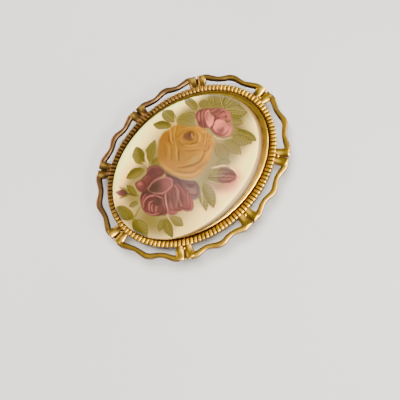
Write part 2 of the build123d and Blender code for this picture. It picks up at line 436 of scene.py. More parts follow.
def rim_bars():
    """Eight bars from lobe to lobe. Reach and width are least at the two waists and greatest at the corners
    and at the apex in the middle; every bar is bent a little its own way, as in a cleaned-up casting."""
    rows = smooth_line(BAR_ROWS, per=6)
    rows = rows[rows[:, 0] <= 1.0001]
    rows = np.concatenate([rows, (rows * (-1, 1, 1) + (2, 0, 0))[-2::-1]])
    way, out, width = rows.T
    bend = rng.normal(0, 0.05, (STATIONS, 2))
    inner = np.sin(np.pi * way / 2)
    out = out + bend[:, :1] * inner * np.sin(np.pi * way) - np.abs(bend[:, 1:]) * inner ** 2
    along = STARTS[:, None] + LOBE_SPREAD + way * (PITCH / 2 - LOBE_SPREAD)
    points = rim_rails(along, out, np.broadcast_to(width, along.shape), RIM_BASE + BAR_LIFT,
                       np.full(along.shape, BAR_HEIGHT), BAR_FULLNESS)
    rise = rim_outline(np.ones(1), 1.0, BAR_FULLNESS)[1]
    verts, faces = rails(points)
    # Painted shade and painted dark reflection: the flanks are much darker than the crest
    return make_piece("rim_bars", verts, faces, None, "gilt_metal", gilt_frame,
                      relief=rail_relief(0.05 + 0.88 * rise ** 2.4, points))


def station_webs():
    """Eight thin plates that close the V between the lobes, with a notch and a dip on the middle line."""
    row = np.linspace(0, 1, 7)[:, None]
    column = np.linspace(-1, 1, 9)
    along = STARTS[:, None, None] + column * (LOBE_ROOT + (LOBE_SPREAD - LOBE_ROOT) * row)
    tip = 0.66 + 0.24 * np.abs(column)
    out = RIM_REACH * (LOBE_INNER_END + row * (tip - LOBE_INNER_END))
    out = np.broadcast_to(out, along.shape)
    top = edge_place(along, out, RIM_BASE + WEB_TOP)
    top[..., 2] -= 0.14 * (1 - np.abs(column)) * row
    low = edge_place(along, out, RIM_BASE + WEB_BOTTOM)
    verts, faces = rails(np.concatenate([top, low[:, :, ::-1]], axis=2))
    return make_piece("station_webs", verts, faces, None, "gilt_metal", gilt_lobes,
                      relief=np.full(len(verts), 0.52))


def station_beads():
    """Eight small beads where the lobes part: circles whose radius follows a half wave from pole to pole."""
    tilt = np.linspace(0.06, np.pi - 0.06, 12)[:, None]
    turn = np.linspace(0, TURN, 18, endpoint=False)
    centre = edge_place(STARTS, np.full(STATIONS, BEAD_RADIUS), RIM_BASE + WEB_TOP)
    ball = np.stack(np.broadcast_arrays(np.sin(tilt) * np.cos(turn), np.sin(tilt) * np.sin(turn),
                                        np.cos(tilt)), -1)
    points = centre[:, None, None] + BEAD_RADIUS * ball
    verts, faces = rails(points)
    # Painted shade: each bead is light at its top and darkens towards its underside
    return make_piece("station_beads", verts, faces, None, "gilt_metal", gilt_frame,
                      relief=rail_relief(np.linspace(0.9, 0.1, 12)[:, None], points))


# Setting cup with its smooth rounded band

def smooth_band():
    """One closed skin: the foot, the rounded band, the pocket under the stone and its floor.
    Rows are told by how far they lie inside the cup's edge, and the middle rows shrink to the centre."""
    floor = MOUNT_BASE + CUP_FLOOR
    edge = np.array([
        (1.20, 3.20), (1.20, 3.24), (1.20, 3.78), (1.18, 3.80), (0.02, 3.80), (0.00, 3.82), (0.00, 4.20),
        (0.00, 4.52), (0.01, 4.72), (0.04, 4.86), (0.10, 4.97), (0.20, 5.07), (0.34, 5.14), (0.52, 5.18),
        (0.74, 5.20), (0.96, 5.195), (1.15, 5.17), (1.30, 5.13), (1.45, 5.08), (1.62, 5.05), (1.90, 5.04),
        (2.60, 5.04), (3.38, 5.04), (3.40, 5.02), (3.40, floor + 0.02), (3.42, floor)])
    inner = np.linspace(1, 0, 12, endpoint=False)[1:]
    half = np.concatenate([(CUP_OUTER - edge[0, 0]) * inner[::-1, None], CUP_OUTER - edge[:, :1],
                           (CUP_OUTER - edge[-1, 0]) * inner[:, None]])
    height = np.concatenate([np.full(len(inner), edge[0, 1]), edge[:, 1], np.full(len(inner), floor)])
    theta = np.linspace(0, TURN, 420, endpoint=False)
    points = np.stack(np.broadcast_arrays(half[:, :1] * np.cos(theta), half[:, 1:] * np.sin(theta),
                                          height[:, None]), -1)[None]
    verts, faces = rails(points)
    # Painted shade: darker on the outer wall in the groove by the ring, near the stone's edge and in the
    # pocket under it; brightest on the rounded crest, polished by wear
    inside = np.concatenate([np.full(len(inner), 1.2), edge[:, 0], np.full(len(inner), 3.4)])
    relief = np.interp(inside, (0.0, 0.08, 0.25, 0.6, 1.1, 1.4, 1.7, 3.0),
                       (0.40, 0.60, 0.90, 1.0, 0.95, 0.75, 0.50, 0.30))
    return make_piece("smooth_band", verts, faces, "setting_cup", "gilt_metal", gilt_band,
                      sharp=60, relief=rail_relief(relief[:, None], points))


# Painted stone

# Inks, by the colour they show on the glaze
INK = {name: np.array(seen) / 255 for name, seen in {
    "cream": (239, 233, 203), "warm": (235, 226, 192), "white": (244, 231, 196), "haze": (170, 149, 84),
    "sage": (172, 158, 98), "moss": (160, 147, 60), "olive": (130, 115, 28), "dusk_green": (98, 82, 22),
    "leaf_light": (190, 176, 100), "meadow": (154, 143, 74), "pale_stem": (224, 206, 156),
    "bark": (104, 68, 36), "ochre": (182, 139, 44), "amber": (184, 134, 32), "honey": (206, 165, 66),
    "straw": (222, 190, 102), "gold_yellow": (196, 156, 66), "umber": (134, 90, 26), "tan": (198, 148, 76),
    "tan_haze": (184, 152, 108), "heart": (138, 86, 66), "crimson": (142, 78, 66), "wine": (112, 62, 52),
    "soot": (98, 64, 44), "plum": (114, 66, 60), "bark_rose": (150, 104, 82), "rose": (168, 98, 90),
    "mauve": (154, 118, 108), "blush": (204, 136, 124), "pink": (208, 150, 130), "shell": (224, 174, 156),
    # The last two inks are a painted reflection of the gilt band and a painted shadow line
    "gilt": (196, 158, 82), "edge_shadow_line": (110, 72, 24),
}.items()}


def step_up(value):
    """A soft step from 0 to 1: the squared value times three less twice the value."""
    value = value.clip(0, 1)
    return value * value * (3 - 2 * value)


def glaze_colour(seen, full_light=3.4):
    """Glaze colour that the camera shows as a seen colour under the studio's full light.
    The camera's film curve greys a colour and bends it into an S: the colour is drawn a little towards
    its own grey, the S is undone by the power of the share over its rest, the colour is drawn out again, and
    what the gloss adds by itself is taken off."""
    curved = seen.clip(0.02, 0.99) ** 0.7
    grey = curved.mean(-1, keepdims=True)
    curved = grey + 0.88 * (curved - grey)
    light = 0.124 * (curved / (1 - curved)) ** 1.234
    grey = light.mean(-1, keepdims=True)
    return ((grey + 1.16 * (light - grey) - 0.014) / full_light).clip(0.004, 0.93)


class Painting:
    """Colours laid on the glaze in soft-edged touches, one over another, in millimetres from the middle.
    Places sway by a sum of fine waves, so no edge comes out ruled."""

    def __init__(self, x, y):
        place = np.stack([x, y], -1).reshape(-1, 2)
        turn = np.random.default_rng(3).uniform(0, TURN, (2, 2, 7))
        pace = np.array([0.9, 1.3, 1.9, 2.6, 3.7, 5.1, 7.3])
        self.swayed = place
        for axis in (0, 1):
            across = place[:, :1] * np.cos(turn[0, axis]) + place[:, 1:] * np.sin(turn[0, axis])
            sway = (np.sin(across * pace + turn[1, axis]) / pace ** 0.7).sum(1) * 0.055
            self.swayed = self.swayed + sway[:, None] * np.eye(2)[axis]
        self.colour = np.tile(INK["cream"], (len(place), 1))

    def near(self, line, reach):
        """Places in the box around a line."""
        low, high = line.min(0) - reach, line.max(0) + reach
        return np.flatnonzero(((self.swayed > low) & (self.swayed < high)).all(1))

    def gap(self, chosen, line):
        """Distance of the chosen places to a line, and how far along it the nearest point lies."""
        start, way = line[:-1], np.diff(line, axis=0)
        to = self.swayed[chosen][:, None] - start
        along = ((to * way).sum(-1) / (way ** 2).sum(-1).clip(1e-9)).clip(0, 1)
        gaps = np.linalg.norm(to - along[..., None] * way, axis=-1)
        best = gaps.argmin(1)
        row = np.arange(len(chosen))
        return gaps[row, best], (best + along[row, best]) / len(way)

    def lay(self, chosen, cover, colour):
        """Mix a colour, or one colour for each place, into the chosen places."""
        self.colour[chosen] += cover[:, None] * (colour - self.colour[chosen])

    def wash(self, x, y, wide, high, ink, strength):
        """A blurred round of thin colour. It fades by e to the minus the 1.3th power of the squared distance,
        told in its two half sizes."""
        away = ((self.swayed[:, 0] - x) / wide) ** 2 + ((self.swayed[:, 1] - y) / high) ** 2
        self.lay(np.arange(len(away)), strength * np.exp(-away ** 1.3), INK[ink])

    def touch(self, ink, width, strength, *places, soft=0.16):
        """One stroke of a pointed brush along x, y, x, y: widest in the middle and tapered to both ends, by
        the 0.6th power of a half wave along it."""
        line = smooth_line(np.reshape(places, (-1, 2)))
        chosen = self.near(line, width + 2 * soft)
        gap, along = self.gap(chosen, line)
        half = 0.5 * width * np.sin(np.pi * (0.08 + 0.84 * along)) ** 0.6
        self.lay(chosen, strength * step_up((half + soft - gap) / (2 * soft)), INK[ink])

    def petal(self, dark, light, way, *places, lip="", lip_width=0.3, soft=0.2, strength=1.0):
        """A closed shape through x, y, x, y that runs from its dark end to its light end along a direction,
        with a lip in an ink of its own where one is given. A place is inside where a level line from it
        crosses the outline an odd number of times."""
        line = smooth_line(np.reshape(places, (-1, 2)), closed=True)
        chosen = self.near(line, 2 * soft)
        gap, _ = self.gap(chosen, line)
        place = self.swayed[chosen]
        start, end = line[:-1], line[1:]
        between = (start[:, 1] > place[:, 1:]) != (end[:, 1] > place[:, 1:])
        rise = np.where(end[:, 1] == start[:, 1], 1, end[:, 1] - start[:, 1])
        cross = start[:, 0] + (end[:, 0] - start[:, 0]) * (place[:, 1:] - start[:, 1]) / rise
        inside = (between & (place[:, :1] < cross)).sum(1) % 2 == 1
        depth = np.where(inside, gap, -gap)
        way = np.array(way) / np.hypot(*way)
        reach = line @ way
        share = step_up((place @ way - reach.min()) / np.ptp(reach))[:, None]
        colour = INK[dark] * (1 - share) + INK[light] * share
        if lip:
            edge = step_up(1 - np.abs(depth - lip_width * 0.6) / lip_width)[:, None]
            colour = colour + 0.85 * edge * (INK[lip] - colour)
        self.lay(chosen, strength * step_up((depth + soft) / (2 * soft)), colour)

    def leaf(self, dark, light, width, base, tip, bend=0.0, vein="moss", strength=0.95):
        """A pointed leaf with a middle vein and side veins that branch off it towards the tip. Its half width
        is the 0.8th power of a half wave, fullest just before the middle, with a slight ripple."""
        base, tip = np.array(base), np.array(tip)
        length = np.hypot(*(tip - base))
        ahead = (tip - base) / length
        aside = np.array([-ahead[1], ahead[0]])
        share = np.linspace(0, 1, 9)
        middle = base + share[:, None] * (tip - base) + (bend * np.sin(np.pi * share))[:, None] * aside
        half = 0.5 * width * np.sin(np.pi * share ** 0.85) ** 0.8 * (1 + 0.10 * np.cos(9 * share))
        left, right = middle + half[:, None] * aside, middle - half[:, None] * aside
        outline = np.concatenate([left[:-1:2], right[:0:-2]])
        self.petal(dark, light, aside, *outline.ravel(), soft=0.13, strength=strength)
        sheen = 0.45 * middle + 0.55 * left
        self.touch("leaf_light", 0.45 * width, 0.35 * strength, *sheen[2:8].ravel(), soft=0.2)
        for number in range(1, 7):
            for edge in (left, right):
                out = 0.15 * middle[number] + 0.85 * edge[number] + 0.10 * (tip - base)
                self.touch("dusk_green", 0.13, 0.42 * strength, *middle[number], *out, soft=0.09)
        for edge in (left, right):
            self.touch("dusk_green", 0.16, 0.60 * strength, *edge[1:].ravel(), soft=0.12)
        self.touch(vein, 0.20, 0.80, *middle[[0, 4, 7]].ravel(), soft=0.10)


def paint_leaves(p):
    """Leaves, stems and the haze behind the flowers."""
    for x, y, wide, high, strength in (
            (-8.8, -1.6, 7.6, 7.8, 0.85), (1.8, 1.2, 7.6, 7.9, 0.90), (11.8, 1.2, 5.0, 5.9, 0.85),
            (-15.6, -3.9, 2.2, 3.2, 0.90), (-13.2, -7.4, 2.4, 1.9, 0.75), (-9.6, 5.2, 4.2, 1.5, 0.80),
            (-14.4, 2.4, 2.2, 2.8, 0.60), (-4.4, 6.2, 3.2, 2.2, 0.85), (-2.6, -8.8, 2.0, 3.0, 0.60),
            (2.0, -6.4, 4.4, 2.0, 0.55), (8.0, -5.2, 4.8, 2.9, 0.60), (12.6, -4.0, 2.6, 3.2, 0.90),
            (8.2, 7.6, 3.8, 2.2, 0.85), (13.8, 5.8, 2.8, 2.8, 0.85), (16.8, 3.2, 3.4, 5.4, 0.95),
            (-18.0, -0.6, 1.6, 4.6, 0.60)):
        p.wash(x, y, wide, high, "haze", strength)
    p.wash(17.4, 3.4, 3, 4.8, "meadow", 0.9)
    p.wash(13.4, 6.8, 1.6, 1.6, "moss", 0.7)
    p.wash(15, -1.4, 1.6, 1.4, "meadow", 0.75)
    p.wash(-14.6, -4.6, 2, 2.6, "moss", 0.55)
    p.wash(-14, 3.2, 1.4, 2.4, "moss", 0.45)
    p.wash(7.6, -5.4, 4.8, 2.6, "sage", 0.8)
    p.wash(1.2, -6.6, 3, 1.6, "sage", 0.7)
    p.petal("moss", "olive", (0, 1), -4.2, 3.6, -5.2, 3.4, -6, 4.8, -5.4, 5.6, -4.2, 5.4, -3.4, 4.6,
            soft=0.35, strength=0.85)
    p.touch("dusk_green", 0.6, 0.5, -5, 3.6, -4.8, 1.6, -4.7, -0.4, -4, -2.2, soft=0.35)
    p.leaf("olive", "moss", 2.9, (-7.3, 6.6), (-5.6, 11.3), 0.25)
    p.leaf("moss", "olive", 2.3, (-6.3, 5.7), (-1.4, 8.8), 0.35)
    p.leaf("olive", "moss", 2.5, (-7.9, 5.3), (-12.4, 7.1), -0.25)
    p.leaf("moss", "olive", 2.9, (-17.5, -1), (-18.8, 4.3), 0.1)
    p.leaf("olive", "moss", 3.2, (-17.8, -1.1), (-18.5, -6.3), 0.15)
    p.leaf("moss", "sage", 1.3, (-14.2, 0.8), (-16.4, 1.7))
    p.touch("moss", 0.5, 0.7, -17.8, -1, -16.2, -0.9, -14.4, -0.5)
    p.touch("pale_stem", 0.4, 0.7, -17, 3.2, -16.6, 1.4, -16.9, -0.4)
    p.touch("bark", 0.36, 0.85, -13.2, 1.9, -13.9, 3.1, -14.8, 4.4)
    p.petal("wine", "rose", (-1, 0.3), -14.5, 4.1, -15.4, 4.3, -16.2, 5.4, -16.4, 6.9, -15.4, 6.5,
            -14.5, 5.7, soft=0.15, strength=0.95)
    p.touch("moss", 0.5, 0.85, -14, 3.4, -14.2, 5, -14.9, 7)
    p.touch("olive", 0.4, 0.8, -14.4, 3.8, -15.3, 4.2, -16.6, 5)
    p.leaf("moss", "olive", 1.3, (-13.3, 2), (-13.4, 5.8))
    p.leaf("sage", "moss", 1.3, (-12.6, -6.3), (-15.4, -7.3))
    p.leaf("moss", "olive", 1.9, (-12.3, -6.4), (-14.3, -10.4), -0.15, "sage", 0.85)
    p.leaf("moss", "sage", 2, (-11.6, -6.8), (-10.8, -10.6), 0.1, "sage", 0.85)
    p.touch("pale_stem", 0.36, 0.8, -11.6, -6.1, -12.1, -8, -12.9, -10.2)
    p.leaf("moss", "sage", 1.8, (-1.9, -6.9), (-4.7, -11.8), 0.1, "sage", 0.85)
    p.leaf("moss", "sage", 2.3, (-0.6, -7), (-3, -12.4), 0.15, "sage", 0.9)
    p.touch("pale_stem", 0.3, 0.7, -1.9, -7.4, -3.2, -9, -4.4, -10.2)
    p.touch("pale_stem", 0.36, 0.75, -7.2, 7.3, -6.8, 6, -6.9, 4.8)
    p.touch("white", 0.42, 0.8, -6.4, 5.7, -5.9, 7.1, -5, 8.2)
    p.leaf("olive", "moss", 2.3, (3.6, 8.5), (1, 12.5), -0.2)
    p.leaf("moss", "meadow", 2.8, (5, 8.7), (5.3, 14), -0.1, "leaf_light")
    p.petal("sage", "moss", (-1, 1), 5, 7.4, 5.5, 8.8, 7.1, 9.2, 8.6, 8.5, 9.7, 7.3, 9.9, 6.1, 8.5, 5.6,
            7.5, 4.2, 6.4, 5.2, 5.3, 6.3, soft=0.25, strength=0.9)
    for aside in (0.0, 0.8, 1.6, 2.4):
        down, far = 8.6 - 0.2 * aside, 7.4 + 0.8 * aside
        p.touch("sage", 0.22, 0.45, 5.6 + aside, down, 6.6 + aside, 7.4, far, 5.6)
        p.touch("olive", 0.22, 0.45, 6.0 + aside, down - 0.1, 7.0 + aside, 7.2, far + 0.3, 5.6)
    p.leaf("moss", "sage", 2, (10.5, 7), (11.5, 13), -0.1)
    p.leaf("sage", "moss", 1.9, (12, 6.2), (13.6, 8.6))
    p.leaf("sage", "moss", 2, (14.9, 4), (15.9, 8.8), 0.1, "leaf_light", 0.8)
    p.leaf("moss", "meadow", 3.6, (15.2, 3.4), (18.8, 8.4), -0.2, "leaf_light", 0.85)
    p.leaf("sage", "meadow", 3.9, (15.3, 2.7), (20, 3.4), -0.15, "leaf_light", 0.85)
    p.leaf("moss", "sage", 3.4, (14.9, 2.2), (18.6, -1.4), -0.2, "leaf_light", 0.85)
    p.leaf("sage", "moss", 1.9, (13.6, -0.6), (15.6, -3), 0.1, "leaf_light", 0.7)
    p.leaf("sage", "olive", 2.5, (13, -3.4), (14.8, -8), 0.15, "leaf_light")
    for x, y, far_x, far_y in ((14.8, 7.0, 16.6, 9.4), (15.7, 4.0, 19.2, 6.4), (15.2, 3.0, 18.2, 7.6),
                               (15.4, 2.4, 18.4, -0.9), (15.0, 1.0, 17.2, -1.5), (16.4, 3.4, 19.8, 4.0)):
        half_x, half_y = 0.5 * (x + far_x), 0.5 * (y + far_y)
        p.touch("pale_stem", 0.22, 0.50, x, y, half_x, half_y + 0.15, far_x, far_y, soft=0.12)
        p.touch("dusk_green", 0.18, 0.50, x, y - 0.35, half_x, half_y - 0.20, far_x, far_y - 0.35, soft=0.12)
    p.leaf("sage", "moss", 2.6, (10.6, -3.6), (13.6, -7.9), 0.15, "sage", 0.8)
    p.leaf("sage", "moss", 2.4, (9.4, -3.2), (9.9, -8.3), 0.1, "haze", 0.55)
    p.leaf("sage", "haze", 2.6, (7.8, -2.2), (6.4, -7.4), 0.1, "haze", 0.7)
    p.touch("olive", 0.4, 0.6, 13.5, -2.6, 14.2, -3.9, 14.2, -5.2)
    p.touch("pale_stem", 0.4, 0.8, 3.9, 7.6, 4.9, 8.6, 6, 9.9)
    p.touch("honey", 0.36, 0.7, 2.7, 7.4, 3.6, 8.6, 4.7, 9.9)


# Strokes in the order they are laid. Columns: ink, width, strength, then x and y of each point of the line.
YELLOW_STROKES = (
    ("umber", 0.5, 0.55, -2.3, -0.4, -1.3, -1.5, 0.1, -2.4, 1.8, -2.9, 3.5, -2.6, 4.9, -1.7),
    ("honey", 0.4, 0.6, -2.5, 0.5, -1.4, -0.8, 0.2, -1.7),
    ("straw", 0.4, 0.55, -3.7, -1, -2.5, -2.7, -0.9, -4, 0.8, -4.5),
    ("umber", 0.36, 0.4, -3.2, -0.4, -2.2, -2.2, -0.6, -3.5, 1.2, -4.1),
    ("tan", 0.55, 0.8, 0.2, -3, 1.6, -3.5, 3.4, -3.9),
    ("umber", 0.24, 0.5, 0.4, -3.5, 1.8, -4, 3.3, -4.3),
    ("straw", 0.5, 0.5, 3.9, -3.2, 5.4, -2.9, 6.6, -2),
    ("umber", 0.3, 0.4, 4.2, -1.4, 5.3, -2.2, 6.4, -1.4),
    ("honey", 0.34, 0.75, -1.7, 0.9, -0.8, 1.9, 0.2, 2.8, 1.1, 4.2),
    ("umber", 0.3, 0.6, -1.2, 0.8, -0.3, 1.7, 0.8, 2.8),
    ("honey", 0.3, 0.65, -2.4, 2.6, -1.3, 3.6, -0.5, 4.8, 0.4, 5.7),
    ("umber", 0.28, 0.5, -2.4, 2.1, -1.1, 3.1, -0.1, 4.4),
    ("straw", 0.34, 0.8, 0.8, 4.8, 1.5, 6.2, 2.4, 7.5, 3, 8.6),
    ("umber", 0.32, 0.6, 0.4, 4.9, 0.9, 6.1, 1.8, 7.4),
    ("umber", 0.28, 0.5, 1.5, 5.2, 2.2, 6.3, 3.2, 7.4),
    ("honey", 0.34, 0.8, 2, 5.8, 2.8, 7, 4.2, 8),
    ("umber", 0.26, 0.45, 2.2, 5.3, 3.6, 5.5, 5, 5.3),
    ("straw", 0.36, 0.6, 5, 5.9, 5.8, 5.4, 6.6, 4.6),
    ("honey", 1.1, 0.7, 6.4, 4.6, 7.3, 3.5, 7.6, 2, 7.4, 0.4, 6.8, -1.4),
    ("straw", 0.32, 0.8, 7, 3.9, 7.9, 3.2, 8, 2.1),
    ("straw", 0.32, 0.8, 7.4, 1.9, 8.1, 1.1, 7.9, 0.1),
    ("straw", 0.3, 0.75, 7.3, -0.3, 7.8, -1.1, 7.1, -2),
    ("umber", 0.26, 0.5, 7, 0.1, 7.6, 0.3, 8.1, 0.9),
    ("umber", 0.24, 0.45, 6.7, -0.9, 7.3, -0.6, 7.8, -0.2),
    ("amber", 0.5, 0.5, 6.6, 2.6, 6.9, 1.4, 6.6, 0.2),
    ("honey", 0.34, 0.75, 3, 2.3, 2.6, 3.2, 3, 4.3, 4, 5),
    ("umber", 0.28, 0.5, 2.3, 2.3, 2, 3.3, 2.3, 4.4),
    ("honey", 0.32, 0.7, 3, 1.8, 4, 1.1, 5, 0.5),
    ("straw", 0.34, 0.75, 5, 0.7, 5.9, 1, 6.6, 1.7, 6.6, 2.8),
    ("umber", 0.34, 0.6, 3.8, 1.7, 4.8, 1.1, 5.8, 1.6, 6.2, 2.5),
    ("umber", 0.28, 0.5, 1.5, 1.5, 2.8, 0.4, 3.9, -0.7),
    ("honey", 0.28, 0.6, 1.3, 1.1, 2.5, 0, 3.7, -1.2),
    ("umber", 0.24, 0.4, 4.3, 0.2, 5.3, -0.3, 6.2, 0.3),
    ("straw", 0.22, 0.6, -1.3, 1.3, 0, 2.7, 1.4, 4.5),
    ("umber", 0.2, 0.5, -0.8, 1.2, 0.5, 2.5, 1.8, 4.1),
    ("straw", 0.2, 0.5, -2, 3.4, -0.9, 4.6, 0.2, 6.2),
    ("umber", 0.2, 0.45, -2.9, 3.4, -1.8, 4.8, -0.6, 6.2),
    ("straw", 0.22, 0.6, 1.3, 4.5, 2.3, 5.9, 3.6, 7.2, 4.5, 7.8),
    ("umber", 0.2, 0.5, 2.6, 5.8, 3.6, 6.7, 4.6, 7.2),
    ("umber", 0.24, 0.6, 2.4, 3.1, 3.4, 2, 4.6, 1, 5.5, 0.4),
    ("straw", 0.2, 0.55, 2.2, 2.6, 3.2, 1.5, 4.4, 0.5),
    ("umber", 0.2, 0.5, 1.9, 0.6, 2.9, -0.1, 4.2, -0.9),
    ("straw", 0.2, 0.5, 1.6, 2, 2.7, 1, 3.9, -0.1),
    ("umber", 0.2, 0.45, 5.6, -0.1, 6.6, 0.3, 7.5, 1.2),
    ("straw", 0.22, 0.6, 5.3, -0.4, 6.3, -0.2, 7.3, 0.6),
    ("umber", 0.2, 0.45, 4.6, -1, 5.6, -1.1, 6.7, -0.4),
    ("straw", 0.24, 0.55, 2.6, -2.4, 3.8, -1.9, 5, -0.9),
    ("umber", 0.2, 0.45, -1.5, -1, -0.4, -1.9, 1, -2.4),
    ("honey", 0.24, 0.6, -1, -1, 0.4, -1.6, 2, -1.8, 3.6, -1.4),
    ("umber", 0.18, 0.4, -0.2, -0.2, 1.2, -0.7, 2.8, -0.6),
    ("umber", 0.18, 0.4, 4.9, 6.7, 5.3, 5.9, 6, 5.2),
    ("straw", 0.24, 0.6, -4.4, 3.6, -4.2, 1.6, -3.9, -0.4, -3.2, -2.4))


def paint_yellow_rose(p):
    """The open yellow rose: a bowl of petals, with the brown heart up to the right."""
    p.petal("honey", "ochre", (-0.6, 1), -4.5, 4.4, -4.4, 2.4, -4.2, 0.4, -3.8, -1.6, -3, -3.2, -1.8, -4.4,
            0.2, -5, 2.4, -4.6, 4.2, -4.2, 6.2, -3, 7.6, -2, 8.4, -0.4, 8.2, 0.9, 8.5, 2.2, 7.9, 3.6, 7, 4.6,
            6.3, 5.5, 5.3, 6.3, 5.1, 7.4, 4.2, 8, 2.6, 8.3, 1, 8.7, -0.6, 8, -2.2, 6.6, -3.6, 5.3, soft=0.32)
    p.touch("amber", 2.2, 0.65, -3.5, 3.4, -2, 5.1, -0.4, 6.6, 1.4, 8.2, soft=0.7)
    p.wash(0.9, 1.8, 3.6, 3.4, "ochre", 0.6)
    p.wash(0.6, 6.8, 1.2, 1.2, "amber", 0.6)
    p.wash(-2.7, 1.7, 0.9, 1.8, "tan", 0.6)
    p.wash(4, 6.7, 1.5, 1.1, "gold_yellow", 0.75)
    p.wash(1.2, -1.8, 1.5, 0.9, "leaf_light", 0.6)
    p.wash(5.9, -1.5, 1.3, 0.9, "tan", 0.7)
    p.wash(7.2, 0.6, 0.9, 1.9, "gold_yellow", 0.7)
    p.wash(-4.2, 1.2, 0.8, 3, "gold_yellow", 0.5)
    p.touch("honey", 0.7, 0.55, -4, 4, -4, 1.6, -3.6, -0.8, -2.6, -3, soft=0.3)
    for ink, width, strength, *places in YELLOW_STROKES:
        p.touch(ink, 0.9 * width, 0.95 * strength, *places)
    p.petal("heart", "umber", (1, -1), 3.4, 3.9, 4, 4.5, 4.9, 4.6, 5.7, 4.2, 5.9, 3.3, 5.5, 2.3, 4.6, 1.8,
            3.9, 2.3, 3.6, 3, soft=0.45, strength=0.85)
    p.wash(4.3, 3.4, 0.5, 0.7, "heart", 0.6)
    p.wash(5.2, 2.3, 0.6, 0.5, "tan", 0.8)
    p.touch("shell", 0.32, 0.8, 5, 2.5, 5.25, 3.1, 5.5, 3.5)
    p.touch("wine", 0.26, 0.8, 4.6, 3.1, 4.9, 3.6, 5.3, 4)
    p.touch("tan", 0.26, 0.7, 3.4, 3, 3.7, 2.4, 4.4, 1.9)


